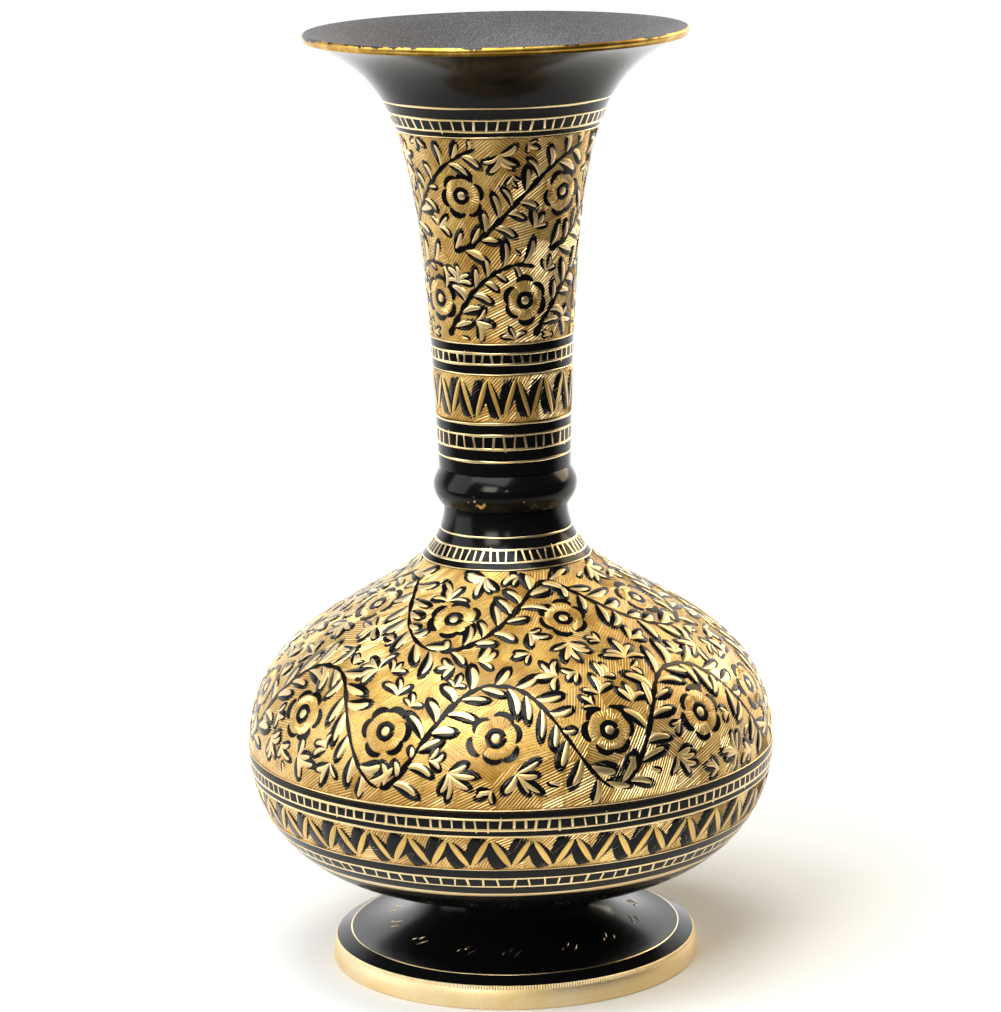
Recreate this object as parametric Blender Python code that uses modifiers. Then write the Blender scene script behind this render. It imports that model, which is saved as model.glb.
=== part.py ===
"""A brass flower vase: flared mouth on a tall neck, a collar ring, a squat belly and a turned foot.

The vase is sectional brassware. The belly is two spun shells, shoulder and bowl, that lap at the
widest line. The neck carries a spigot that passes through the collar ring into the shoulder's
spout. The hollow foot hangs on a stud that is blind in the bowl's floor, with a washer and a nut
under the foot's web, so that the vase holds water.

Metres, +Z up. The origin is on the axis, in the plane that the foot stands on.
"""
import math

import bmesh
import bpy

MM = 0.001

# Fits and fineness
GAP = 0.3 * MM                 # air between two pieces that touch
SEGMENTS = 48                  # facets around every turned piece
CURVE_STEPS = 11               # points along each curved stretch of an outline

# Foot
FOOT_R = 50.1 * MM             # where it stands
FOOT_HEIGHT = 22.0 * MM
FOOT_WAIST_R = 24.0 * MM       # at its top, under the bowl
FOOT_RIM_HEIGHT = 6.5 * MM     # plain rim around the base
FOOT_RIM_TAPER = 0.8 * MM      # how far the rim leans in over its height
FOOT_RIM_WIDTH = 4.6 * MM      # the ring that it stands on
FOOT_FLANGE_WIDTH = 4.3 * MM   # sloping step between rim and cove
FOOT_FLANGE_RISE = 1.8 * MM
FOOT_WALL = 1.8 * MM
FOOT_WEB = 2.0 * MM            # its flat top, which the stud passes through

# Bowl, the lower shell of the belly
BELLY_R = 71.5 * MM            # at the widest line, where the shells meet
BOWL_HEIGHT = 38.4 * MM
BOWL_SIDE_POWER = 3.6          # the side is |r|^side + |z|^floor = 1, in shares of its size
BOWL_FLOOR_POWER = 2.0
BELLY_WALL = 1.8 * MM
LAP_HEIGHT = 5.0 * MM          # how far the bowl's lap ring stands up inside the shoulder
LAP_WALL = 1.1 * MM

# Shoulder, the upper shell with its spout
SHOULDER_HEIGHT = 66.0 * MM
SHOULDER_FULLNESS = 41.5 * MM  # pull of the curve straight up from the widest line
THROAT_LENGTH = 27.5 * MM      # pull of the curve straight down from the spout's top
THROAT_R = 16.8 * MM           # outside of the spout
SPOUT_WALL = 1.6 * MM

# Collar ring, a bead between spout and neck
COLLAR_HEIGHT = 9.7 * MM
COLLAR_LAND = 0.6 * MM         # its edge stands this far outside the spout
COLLAR_PROUD = 2.0 * MM        # the bead stands this far outside its own edge

# Neck, with the flared mouth and the spigot
NECK_HEIGHT = 116.7 * MM
NECK_STEP = 1.1 * MM           # the neck's base stands this far outside the spout
NECK_WALL = 1.8 * MM
FLARE_PINCH = 12.7 * MM        # small opens the mouth late and sharply
LIP_R = 51.0 * MM
LIP_THICKNESS = 2.2 * MM
LIP_LAND = 1.4 * MM            # flat on top of the lip
LIP_EDGE = 0.4 * MM            # its eased outer corner
SPIGOT_WALL = 1.4 * MM
SPIGOT_ENGAGE = 8.0 * MM       # length of spigot inside the spout
SPIGOT_LEDGE = 2.5 * MM        # slope inside the neck, from its bore to the spigot's

# Stud, washer and nut that hold the foot
STUD_R = 3.0 * MM
STUD_ENGAGE = 7.0 * MM         # length of stud in the bowl's floor
STUD_TAIL = 1.5 * MM           # stud that shows past the nut
BOSS_WALL = 4.0 * MM           # brass around the stud's hole
BOSS_CAP = 2.0 * MM            # brass over the end of the hole
WASHER_RIM = 5.0 * MM
WASHER_THICKNESS = 1.2 * MM
NUT_WALL = 2.0 * MM            # from thread to flat
NUT_HEIGHT = 5.0 * MM

# What the sizes above add up to
HOLE_R = STUD_R + GAP
BOWL_SEAT_Z = FOOT_HEIGHT + GAP
SHOULDER_SEAT_Z = BOWL_SEAT_Z + BOWL_HEIGHT + GAP
COLLAR_SEAT_Z = SHOULDER_SEAT_Z + SHOULDER_HEIGHT + GAP
NECK_SEAT_Z = COLLAR_SEAT_Z + COLLAR_HEIGHT + GAP
SPOUT_BORE_R = THROAT_R - SPOUT_WALL
SPIGOT_R = SPOUT_BORE_R - GAP
SPIGOT_BORE_R = SPIGOT_R - SPIGOT_WALL
SPIGOT_LENGTH = GAP + COLLAR_HEIGHT + GAP + SPIGOT_ENGAGE
NECK_R = THROAT_R + NECK_STEP
WASHER_TOP_Z = FOOT_HEIGHT - FOOT_WEB - GAP
NUT_TOP_Z = WASHER_TOP_Z - WASHER_THICKNESS - GAP
STUD_END_Z = NUT_TOP_Z - NUT_HEIGHT - STUD_TAIL

HIGH_POLISH, SATIN, LACQUER = 0.22, 0.38, 0.12     # roughness of the finishes
GOLD, PALE_GOLD, BLACK = (0.78, 0.60, 0.24), (0.86, 0.74, 0.46), (0.012, 0.011, 0.012)


def clear_scene():
    """Start from an empty scene."""
    for obj in list(bpy.data.objects):
        bpy.data.objects.remove(obj, do_unlink=True)


def make_collection(name):
    """A new collection under the scene."""
    collection = bpy.data.collections.new(name)
    bpy.context.scene.collection.children.link(collection)
    return collection


def make_material(name, color, roughness, metallic=1.0):
    """A Principled material of one colour."""
    material = bpy.data.materials.new(name)
    material.use_nodes = True
    shader = material.node_tree.nodes["Principled BSDF"]
    shader.inputs["Base Color"].default_value = (*color, 1.0)
    shader.inputs["Roughness"].default_value = roughness
    shader.inputs["Metallic"].default_value = metallic
    return material


def place(obj, collection, material, seat_z, parent):
    """Put a piece in its collection, with its material, on its seat."""
    collection.objects.link(obj)
    obj.data.materials.append(material)
    obj.location.z = seat_z
    obj.parent = parent


def turned(name, outline, touches_axis=False):
    """A solid turned about Z from (radius, height) points.

    The points run down the outer side and back up the inner side. The outline closes on itself,
    or it starts and ends on the axis.
    """
    edges = [(i, i + 1) for i in range(len(outline) - 1)]
    if not touches_axis:
        edges.append((len(outline) - 1, 0))
    mesh = bpy.data.meshes.new(name)
    mesh.from_pydata([(r, 0.0, z) for r, z in outline], edges, [])
    obj = bpy.data.objects.new(name, mesh)
    screw = obj.modifiers.new("Turn", "SCREW")
    screw.axis = "Z"
    screw.angle = math.tau
    screw.steps = SEGMENTS
    screw.render_steps = SEGMENTS
    screw.use_merge_vertices = True
    screw.merge_threshold = 0.00001
    screw.use_smooth_shade = True
    return obj


def shares(steps):
    """Even shares from 0 to 1."""
    return [i / (steps - 1) for i in range(steps)]


def inset(points, wall):
    """The points of an outline that runs downwards, moved inwards by a wall, square to it."""
    moved = []
    for i, (r, z) in enumerate(points):
        r_before, z_before = points[max(i - 1, 0)]
        r_after, z_after = points[min(i + 1, len(points) - 1)]
        run, fall = r_after - r_before, z_after - z_before
        length = math.hypot(run, fall)
        moved.append((r + wall * fall / length, z - wall * run / length))
    return moved


def foot_outline():
    """Flat web, a quarter-ellipse cove, a sloping flange and a plain rim, hollow underneath."""
    rim_top_r = FOOT_R - FOOT_RIM_TAPER
    cove_r = rim_top_r - FOOT_FLANGE_WIDTH
    cove_width = cove_r - FOOT_WAIST_R
    cove_depth = FOOT_HEIGHT - FOOT_RIM_HEIGHT - FOOT_FLANGE_RISE
    outer = []
    for share in shares(CURVE_STEPS):
        angle = share * math.pi / 2
        outer.append((cove_r - cove_width * math.cos(angle),
                      FOOT_HEIGHT - cove_depth * math.sin(angle)))
    inner = []
    web_angle = math.asin(FOOT_WEB / (cove_depth + FOOT_WALL))
    for share in shares(CURVE_STEPS):
        angle = math.pi / 2 + share * (web_angle - math.pi / 2)
        inner.append((cove_r - (cove_width + FOOT_WALL) * math.cos(angle),
                      FOOT_HEIGHT - (cove_depth + FOOT_WALL) * math.sin(angle)))
    rim_bore_r = FOOT_R - FOOT_RIM_WIDTH
    return ([(HOLE_R, FOOT_HEIGHT)] + outer
            + [(rim_top_r, FOOT_RIM_HEIGHT), (FOOT_R, FOOT_RIM_TAPER), (FOOT_R, 0.0)]
            + [(rim_bore_r, 0.0), (rim_bore_r, inner[0][1] - FOOT_FLANGE_RISE)]
            + inner + [(HOLE_R, FOOT_HEIGHT - FOOT_WEB)])


def bowl_side():
    """The bowl's outside, from the widest line down to the foot's waist."""
    last = math.acos((FOOT_WAIST_R / BELLY_R) ** (BOWL_SIDE_POWER / 2))
    points = []
    for share in shares(CURVE_STEPS):
        r = BELLY_R * math.cos(share * last) ** (2 / BOWL_SIDE_POWER)
        fall = BOWL_HEIGHT * math.sin(share * last) ** (2 / BOWL_FLOOR_POWER)
        points.append((r, BOWL_HEIGHT - fall))
    return points


def bowl_outline():
    """A shell with a lap ring above its rim and a boss in its floor, blind from below."""
    side = bowl_side()
    lap_r = BELLY_R - LAP_WALL
    lap_bore_r = lap_r - GAP - LAP_WALL
    boss_r = HOLE_R + BOSS_WALL
    boss_top = STUD_ENGAGE + GAP + BOSS_CAP
    inner = [point for point in inset(side, BELLY_WALL) if point[0] < lap_bore_r]
    floor_z = inner[-1][1]
    return ([(0.0, boss_top), (boss_r, boss_top), (boss_r, floor_z)]
            + inner[::-1]
            + [(lap_bore_r, BOWL_HEIGHT + LAP_HEIGHT), (lap_r - GAP, BOWL_HEIGHT + LAP_HEIGHT)]
            + [(lap_r - GAP, BOWL_HEIGHT)] + side
            + [(FOOT_WAIST_R, 0.0), (HOLE_R, 0.0)]
            + [(HOLE_R, STUD_ENGAGE + GAP), (0.0, STUD_ENGAGE + GAP)])


def shoulder_side():
    """The shoulder's outside, one cubic curve that is upright at the spout and at the seam."""
    ends = (THROAT_R, THROAT_R, BELLY_R, BELLY_R)
    heights = (SHOULDER_HEIGHT, SHOULDER_HEIGHT - THROAT_LENGTH, SHOULDER_FULLNESS, 0.0)
    points = []
    for t in shares(CURVE_STEPS + 4):
        weights = ((1 - t) ** 3, 3 * t * (1 - t) ** 2, 3 * t * t * (1 - t), t ** 3)
        points.append((sum(w * r for w, r in zip(weights, ends)),
                       sum(w * z for w, z in zip(weights, heights))))
    return points


def shoulder_outline():
    """A shell with a straight bore in its spout and a rebate for the bowl's lap ring."""
    side = shoulder_side()
    lap_r = BELLY_R - LAP_WALL
    ledge_z = LAP_HEIGHT + GAP
    bore_end = SHOULDER_HEIGHT - SPIGOT_ENGAGE - GAP
    inner = [(r, z) for r, z in inset(side, BELLY_WALL)
             if r > SPOUT_BORE_R + BELLY_WALL and z < bore_end and z > ledge_z + GAP]
    ledge_r = inner[-1][0]
    return (side + [(lap_r, 0.0), (lap_r, ledge_z), (ledge_r, ledge_z)]
            + inner[::-1]
            + [(SPOUT_BORE_R, bore_end), (SPOUT_BORE_R, SHOULDER_HEIGHT)])


def collar_outline():
    """A half-wave bead on a straight bore."""
    bore_r = SPIGOT_R + GAP
    edge_r = THROAT_R + COLLAR_LAND
    bead = [(edge_r + COLLAR_PROUD * math.sin(math.pi * share), COLLAR_HEIGHT * (1 - share))
            for share in shares(CURVE_STEPS - 2)]
    return bead + [(bore_r, 0.0), (bore_r, COLLAR_HEIGHT)]


def neck_side():
    """The neck's outside, from under the lip down to its seat: radius = limit + a / (depth + pinch)."""
    depth = NECK_HEIGHT - LIP_THICKNESS
    pull = (LIP_R - NECK_R) / (1 / FLARE_PINCH - 1 / (depth + FLARE_PINCH))
    limit_r = LIP_R - pull / FLARE_PINCH
    points = []
    for share in shares(CURVE_STEPS + 4):
        fall = FLARE_PINCH * ((1 + depth / FLARE_PINCH) ** share - 1)
        points.append((limit_r + pull / (fall + FLARE_PINCH), depth - fall))
    return points


def neck_outline():
    """Lip, flare and tube outside; spigot below the seat; bore, ledge and flare inside."""
    side = neck_side()
    inner_lip_r = LIP_R - LIP_EDGE - LIP_LAND
    inner = [(r, z) for r, z in inset(side, NECK_WALL)
             if r < inner_lip_r - GAP and z > SPIGOT_LEDGE + GAP]
    return ([(LIP_R - LIP_EDGE, NECK_HEIGHT), (LIP_R, NECK_HEIGHT - LIP_EDGE)] + side
            + [(SPIGOT_R, 0.0), (SPIGOT_R, -SPIGOT_LENGTH), (SPIGOT_BORE_R, -SPIGOT_LENGTH)]
            + [(SPIGOT_BORE_R, 0.0), (inner[-1][0], SPIGOT_LEDGE)]
            + inner[::-1] + [(inner_lip_r, NECK_HEIGHT)])


def stud_outline():
    """A plain rod from the blind hole down past the nut."""
    length = BOWL_SEAT_Z + STUD_ENGAGE - STUD_END_Z
    return [(0.0, length), (STUD_R, length), (STUD_R, 0.0), (0.0, 0.0)]


def washer_outline():
    """A flat ring."""
    outer_r = HOLE_R + WASHER_RIM
    return [(outer_r, WASHER_THICKNESS), (outer_r, 0.0), (HOLE_R, 0.0), (HOLE_R, WASHER_THICKNESS)]


def cylinder_mesh(name, radius, height, sides):
    """A closed prism, round or six-sided, standing on its own origin."""
    mesh = bpy.data.meshes.new(name)
    bm = bmesh.new()
    bmesh.ops.create_cone(bm, cap_ends=True, segments=sides, radius1=radius, radius2=radius,
                          depth=height)
    bmesh.ops.translate(bm, verts=bm.verts, vec=(0.0, 0.0, height / 2))
    bm.to_mesh(mesh)
    bm.free()
    return mesh


def make_nut(parts, cutters, material, parent):
    """A six-sided nut, its hole cut by a round cutter that passes right through."""
    corner_r = (HOLE_R + NUT_WALL) / math.cos(math.pi / 6)
    nut = bpy.data.objects.new("foot_nut", cylinder_mesh("foot_nut", corner_r, NUT_HEIGHT, 6))
    place(nut, parts, material, NUT_TOP_Z - NUT_HEIGHT, parent)
    bore = bpy.data.objects.new("nut_bore_cutter",
                                cylinder_mesh("nut_bore_cutter", HOLE_R, 3 * NUT_HEIGHT, SEGMENTS))
    cutters.objects.link(bore)
    bore.location.z = NUT_TOP_Z - 2 * NUT_HEIGHT
    bore.parent = parent
    bore.display_type = "WIRE"
    bore.hide_render = True
    cut = nut.modifiers.new("Bore", "BOOLEAN")
    cut.operation = "DIFFERENCE"
    cut.solver = "EXACT"
    cut.object = bore


def main():
    """Build every piece on its seat."""
    clear_scene()
    parts = make_collection("brass_vase")
    cutters = make_collection("cutters")
    vase = bpy.data.objects.new("vase_axis", None)
    parts.objects.link(vase)

    engraved = [make_material(f"engraved_brass_{name}", GOLD, HIGH_POLISH)
                for name in ("bowl", "shoulder", "neck")]
    pieces = (
        ("foot", foot_outline(), False, 0.0,
         make_material("lacquered_foot", BLACK, LACQUER, metallic=0.0)),
        ("bowl", bowl_outline(), True, BOWL_SEAT_Z, engraved[0]),
        ("shoulder", shoulder_outline(), False, SHOULDER_SEAT_Z, engraved[1]),
        ("collar_ring", collar_outline(), False, COLLAR_SEAT_Z,
         make_material("lacquered_collar", BLACK, LACQUER, metallic=0.0)),
        ("neck", neck_outline(), False, NECK_SEAT_Z, engraved[2]),
        ("foot_stud", stud_outline(), True, STUD_END_Z,
         make_material("stud_brass", PALE_GOLD, SATIN)),
        ("foot_washer", washer_outline(), False, WASHER_TOP_Z - WASHER_THICKNESS,
         make_material("washer_brass", PALE_GOLD, SATIN)),
    )
    for name, outline, touches_axis, seat_z, material in pieces:
        place(turned(name, outline, touches_axis), parts, material, seat_z, vase)
    make_nut(parts, cutters, make_material("nut_brass", PALE_GOLD, SATIN), vase)


main()
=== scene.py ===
import math

import bpy
import numpy as np
from mathutils import Matrix, Vector


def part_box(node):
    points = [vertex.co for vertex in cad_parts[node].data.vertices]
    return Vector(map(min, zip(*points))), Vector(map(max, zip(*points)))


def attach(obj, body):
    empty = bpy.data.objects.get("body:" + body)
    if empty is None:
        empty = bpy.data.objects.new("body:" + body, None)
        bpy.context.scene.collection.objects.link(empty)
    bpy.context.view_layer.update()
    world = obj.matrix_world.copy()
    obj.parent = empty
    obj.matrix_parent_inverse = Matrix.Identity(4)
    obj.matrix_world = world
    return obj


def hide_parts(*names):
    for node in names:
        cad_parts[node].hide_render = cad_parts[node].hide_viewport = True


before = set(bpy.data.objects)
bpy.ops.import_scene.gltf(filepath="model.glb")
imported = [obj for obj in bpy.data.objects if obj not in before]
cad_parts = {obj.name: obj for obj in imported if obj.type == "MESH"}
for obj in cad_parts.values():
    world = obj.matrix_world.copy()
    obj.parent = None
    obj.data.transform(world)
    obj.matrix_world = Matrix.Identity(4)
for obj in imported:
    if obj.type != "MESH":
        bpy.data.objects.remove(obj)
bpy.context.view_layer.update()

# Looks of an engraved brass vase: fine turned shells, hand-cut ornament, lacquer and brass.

MM = 0.001
TURN = 2 * math.pi
random = np.random.default_rng(254)

# ---- sizes that the frame gives
LIP_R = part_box("neck")[1].x
TOP_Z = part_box("neck")[1].z
SPIGOT_END_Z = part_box("neck")[0].z
COLLAR_LOW_Z, COLLAR_TOP_Z = (corner.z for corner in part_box("collar_ring"))
BELLY_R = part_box("shoulder")[1].x
SHOULDER_LOW_Z, SPOUT_TOP_Z = (corner.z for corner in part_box("shoulder"))
BOWL_LOW_Z, LAP_TOP_Z = (corner.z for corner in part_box("bowl"))
FOOT_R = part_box("foot")[1].x
FOOT_TOP_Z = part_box("foot")[1].z
STUD_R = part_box("foot_stud")[1].x

# ---- sizes repeated from the solids
GAP = 0.3 * MM
WALL = 1.8 * MM
THROAT_R = 16.8 * MM
NECK_R = 17.9 * MM
SPIGOT_R = 14.9 * MM
SPIGOT_BORE_R = 13.5 * MM
SPOUT_BORE_R = SPIGOT_R + GAP
SPIGOT_LEDGE = 2.5 * MM
LIP_THICKNESS = 2.2 * MM
LIP_ROUND = 0.9 * MM
LINING_DEPTH = 5.0 * MM
FLARE_PINCH = 12.7 * MM
COLLAR_LAND_R = THROAT_R + 0.6 * MM
SHOULDER_FULLNESS = 41.5 * MM
THROAT_LENGTH = 27.5 * MM
SPOUT_BORE_DEPTH = 8.3 * MM
BOWL_SIDE_POWER = 3.6
LAP_WALL = 1.1 * MM
LAP_HEIGHT = 5.0 * MM
FOOT_WAIST_R = 24.0 * MM
FOOT_RIM_HEIGHT = 6.5 * MM
FOOT_RIM_TAPER = 0.8 * MM
FOOT_RIM_WIDTH = 4.6 * MM
FOOT_FLANGE_WIDTH = 4.3 * MM
FOOT_FLANGE_RISE = 1.8 * MM
FOOT_WEB = 2.0 * MM
HOLE_R = STUD_R + GAP
BOSS_R = HOLE_R + 4.0 * MM
BOSS_TOP = 9.3 * MM
STUD_HOLE = 7.3 * MM

NECK_SEAT_Z = COLLAR_TOP_Z + GAP
BOWL_TOP_Z = SHOULDER_LOW_Z - GAP
FOOT_EDGE_R = FOOT_R - FOOT_RIM_TAPER
FOOT_COVE_R = FOOT_EDGE_R - FOOT_FLANGE_WIDTH
FLANGE_TOP_Z = FOOT_RIM_HEIGHT + FOOT_FLANGE_RISE

# ---- depths below the turned surface
LACQUER_DEPTH = 0.12 * MM      # black bands
FIELD_DEPTH = 0.34 * MM        # hatched brass between the ornament
STROKE_RISE = 0.17 * MM        # one graver stroke above the field
OUTLINE_RISE = 0.20 * MM       # black outlines and stems above the field
LEAF_RISE = 0.31 * MM          # leaves and petals above the field
LINE_RISE = 0.09 * MM          # brass lines above the lacquer
SINK = 0.12 * MM               # how far a sliver's underside goes into what it lies on

# ---- sizes of the ornament and the finishes
STROKE_PITCH = 0.74 * MM       # between two graver strokes
OVERSHOOT = 0.7 * MM           # a ladder bar cut too far
STEM_START = 0.88 * MM         # half widths of a stem
STEM_END = 0.45 * MM
STEM_BARE = 1.5 * MM           # bare length before a stem's first leaf
LEAF_SPREAD = 0.85             # angle between a stem and its leaves
LEAF_BEND = 0.75               # how far a leaf turns on its way
LEAF_TO_FLOWER = 0.3 * MM
FULL_LEAF = 6 * MM             # shorter leaves are narrower too
PETALS = 6
PETAL_STROKES = 6
WORN_HEIGHT = 2.6 * MM         # low part of the bead where lacquer is thin
RIM_TEETH = 420
RIM_TEETH_Z = 5.2 * MM
RIM_ROUND = 0.5 * MM


# ======== turned skins

class Skin:
    """The outside of a turned shell, as tables along its outline.

    s is the length along the outline from its lowest point. theta is the angle around the axis from
    the front, -Y, growing towards +X. h is the distance outwards, square to the surface.
    """

    def __init__(self, r, z):
        self.s = np.concatenate(([0.0], np.cumsum(np.hypot(np.diff(r), np.diff(z)))))
        self.r, self.z = r, z
        rise_r, rise_z = np.gradient(r, self.s), np.gradient(z, self.s)
        length = np.hypot(rise_r, rise_z)
        self.out_r, self.out_z = rise_z / length, -rise_r / length

    def radius(self, s):
        """Distance from the axis at s."""
        return np.interp(s, self.s, self.r)

    def at_height(self, z):
        """The s of a height in metres."""
        return float(np.interp(z, self.z, self.s))

    def span(self, low_z, high_z):
        """The s of two heights, given in mm."""
        return self.at_height(low_z * MM), self.at_height(high_z * MM)

    def section(self, s, h):
        """(radius, height) at s, moved outwards by h."""
        radius = self.radius(s) + h * np.interp(s, self.s, self.out_r)
        height = np.interp(s, self.s, self.z) + h * np.interp(s, self.s, self.out_z)
        return radius, height

    def wrap(self, theta, s, h):
        """Points at theta and s: x = radius sin(theta), y = -radius cos(theta)."""
        radius, height = self.section(s, h)
        return np.stack([radius * np.sin(theta), -radius * np.cos(theta), height], axis=-1)


def neck_skin():
    """radius = limit + pull / (depth + pinch), depth from under the lip."""
    depth_all = TOP_Z - LIP_THICKNESS - NECK_SEAT_Z
    pull = (LIP_R - NECK_R) / (1 / FLARE_PINCH - 1 / (depth_all + FLARE_PINCH))
    share = np.linspace(1, 0, 900)
    depth = FLARE_PINCH * ((1 + depth_all / FLARE_PINCH) ** share - 1)
    radius = LIP_R - pull / FLARE_PINCH + pull / (depth + FLARE_PINCH)
    return Skin(radius, TOP_Z - LIP_THICKNESS - depth)


def shoulder_skin():
    """One cubic curve, upright at the seam and at the spout's top."""
    t = np.linspace(0, 1, 900)
    tall = SPOUT_TOP_Z - SHOULDER_LOW_Z
    weights = np.array([(1 - t) ** 3, 3 * t * (1 - t) ** 2, 3 * t * t * (1 - t), t ** 3])
    radius = np.array([BELLY_R, BELLY_R, THROAT_R, THROAT_R]) @ weights
    height = np.array([0.0, SHOULDER_FULLNESS, tall - THROAT_LENGTH, tall]) @ weights
    return Skin(radius, SHOULDER_LOW_Z + height)


def bowl_skin():
    """r = R cos(a)^(2/power), z falls as sin(a), from the foot's waist up to the seam."""
    last = math.acos((FOOT_WAIST_R / BELLY_R) ** (BOWL_SIDE_POWER / 2))
    angle = np.linspace(last, 0, 900)
    radius = BELLY_R * np.cos(angle) ** (2 / BOWL_SIDE_POWER)
    return Skin(radius, BOWL_TOP_Z - (BOWL_TOP_Z - BOWL_LOW_Z) * np.sin(angle))


def foot_skin():
    """A quarter-ellipse cove above a sloping flange; s starts at the flange's outer edge."""
    angle = np.linspace(math.pi / 2, 0, 500)
    cove = (FOOT_COVE_R - (FOOT_COVE_R - FOOT_WAIST_R) * np.cos(angle),
            FOOT_TOP_Z - (FOOT_TOP_Z - FLANGE_TOP_Z) * np.sin(angle))
    share = np.linspace(0, 1, 60)[:-1]
    flange = (FOOT_EDGE_R - FOOT_FLANGE_WIDTH * share, FOOT_RIM_HEIGHT + FOOT_FLANGE_RISE * share)
    return Skin(np.concatenate([flange[0], cove[0]]), np.concatenate([flange[1], cove[1]]))


# ======== meshes

def add_piece(name, points, faces, materials, replaced=(), zones=None, sharp=40):
    mesh = bpy.data.meshes.new(name)
    mesh.from_pydata(points.tolist(), [], [face for group in faces for face in group.tolist()])
    for material in materials:
        mesh.materials.append(material)
    if zones is not None:
        mesh.polygons.foreach_set("material_index", zones.astype(np.int32))
    mesh.shade_smooth()
    mesh.set_sharp_from_angle(angle=math.radians(sharp))
    mesh.update()
    piece = bpy.data.objects.new(name, mesh)
    bpy.context.scene.collection.objects.link(piece)
    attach(piece, "root")
    if replaced:
        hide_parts(*replaced)


def quad_grid(rows, columns, closed=False):
    """Faces between the rows of a grid. Each row runs round; closed joins last row to first."""
    row = np.arange(rows if closed else rows - 1)[:, None]
    column = np.arange(columns)[None, :]
    after, beside = (row + 1) % rows, (column + 1) % columns
    return np.stack([row * columns + column, row * columns + beside,
                     after * columns + beside, after * columns + column], -1).reshape(-1, 4)


def lathe(name, stretches, materials, replaced, around=256):
    """A solid turned about Z: point (i, k) is outline point i turned by k steps.

    The outline comes in stretches of (radius, height) rows that run down the outer side and up the
    inner side, each with the material below its points. It closes on itself, or starts and ends
    on the axis, where a pole closes it.
    """
    outline = np.vstack([rows for rows, _ in stretches])
    zones = np.concatenate([np.broadcast_to(zone, len(rows)) for rows, zone in stretches])
    poles = outline[0, 0] < 1e-9
    rings = outline[1:-1] if poles else outline
    count, step = len(rings), np.arange(around)
    angle = step * TURN / around
    radius, height = rings[:, :1], rings[:, 1:]
    points = np.stack([radius * np.sin(angle), -radius * np.cos(angle),
                       height + 0 * angle], axis=-1).reshape(-1, 3)
    faces = [quad_grid(count, around, not poles)[:, [0, 3, 2, 1]]]
    face_zones = [np.repeat(zones[1:count] if poles else zones, around)]
    if poles:
        first, end, beside = len(points), (count - 1) * around, (step + 1) % around
        points = np.vstack([points, [0, 0, outline[0, 1]], [0, 0, outline[-1, 1]]])
        faces.append(np.stack([np.full(around, first), step, beside], axis=-1))
        faces.append(np.stack([np.full(around, first + 1), end + beside, end + step], axis=-1))
        face_zones += [np.full(around, zones[0]), np.full(around, zones[-1])]
    add_piece(name, points, faces, materials, replaced, np.concatenate(face_zones))


def stepped(skin, top_s, fields=(), low_s=0.0, step=0.7 * MM):
    """Outline of a skin from top_s down to low_s, sunk for lacquer and deeper in each field.

    fields are (low s, high s), the highest first. Returns (radius, height) rows and the zone of
    each: 0 for lacquer, 1 for a field.
    """
    bands = []
    for field_low, field_high in fields:
        bands += [(top_s, field_high, LACQUER_DEPTH, 0), (field_high, field_low, FIELD_DEPTH, 1)]
        top_s = field_low
    bands.append((top_s, low_s, LACQUER_DEPTH, 0))
    rows, zones = [], []
    for top, bottom, depth, zone in bands:
        s = np.linspace(top, bottom, max(2, int((top - bottom) / step)))
        rows.append(np.stack(skin.section(s, -depth), axis=-1))
        zones += [zone] * len(s)
    return np.vstack(rows), zones


def inset(skin, low_s, high_s):
    """Outline inside a skin, a wall's thickness in, from low_s up to high_s."""
    return np.stack(skin.section(np.linspace(low_s, high_s, 90), -WALL), axis=-1)


def arc_rows(centre, radius, start, end, count):
    """(radius, height) rows on an arc, angles in degrees."""
    angle = np.radians(np.linspace(start, end, count))
    return np.stack([centre[0] + radius * np.cos(angle), centre[1] + radius * np.sin(angle)], -1)


# ======== slivers that lie on a skin

def headings(skin, theta, s):
    """Unit direction (across, along) of each path, and its radius."""
    radius = skin.radius(s)
    across, along = np.gradient(theta, axis=1) * radius, np.gradient(s, axis=1)
    length = np.hypot(across, along) + 1e-12
    return across / length, along / length, radius


def slivers(skin, level, theta, s, half_width, rise, sides, crown):
    """Closed slivers along paths: around each station runs the ellipse (w cos a, rise sin a).

    theta, s, half_width and rise are (count, stations). Both ends close in a point. The underside
    goes in by SINK. level is the height of what they lie on. A crown above 1 stretches both
    waves and cuts them off at 1, which flattens the top. Returns points and faces.
    """
    go_x, go_y, radius = headings(skin, theta, s)
    angle = TURN / 4 + np.arange(sides) * TURN / sides
    left = np.clip(crown ** 0.6 * np.cos(angle), -1, 1)
    up = np.clip(crown * np.sin(angle), -1, 1)
    side = half_width[..., None] * left
    ring_theta = theta[..., None] - go_y[..., None] * side / radius[..., None]
    ring_s = s[..., None] + go_x[..., None] * side
    lift = np.where(up > 0, rise[..., None], SINK) * up
    body = skin.wrap(ring_theta, ring_s, level + lift)[:, 1:-1]
    ends = skin.wrap(theta[:, [0, -1]], s[:, [0, -1]], np.full((len(s), 2), level))
    count, rings = body.shape[:2]
    points = np.concatenate([body.reshape(count, -1, 3), ends], axis=1)
    size = points.shape[1]
    step = np.arange(sides)
    beside, last = (step + 1) % sides, (rings - 1) * sides
    head = np.stack([np.full(sides, size - 2), beside, step], axis=-1)
    tail = np.stack([np.full(sides, size - 1), last + step, last + beside], axis=-1)
    shift = (np.arange(count) * size)[:, None, None]
    return (points.reshape(-1, 3), (quad_grid(rings, sides) + shift).reshape(-1, 4),
            (np.concatenate([head, tail]) + shift).reshape(-1, 3))


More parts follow.
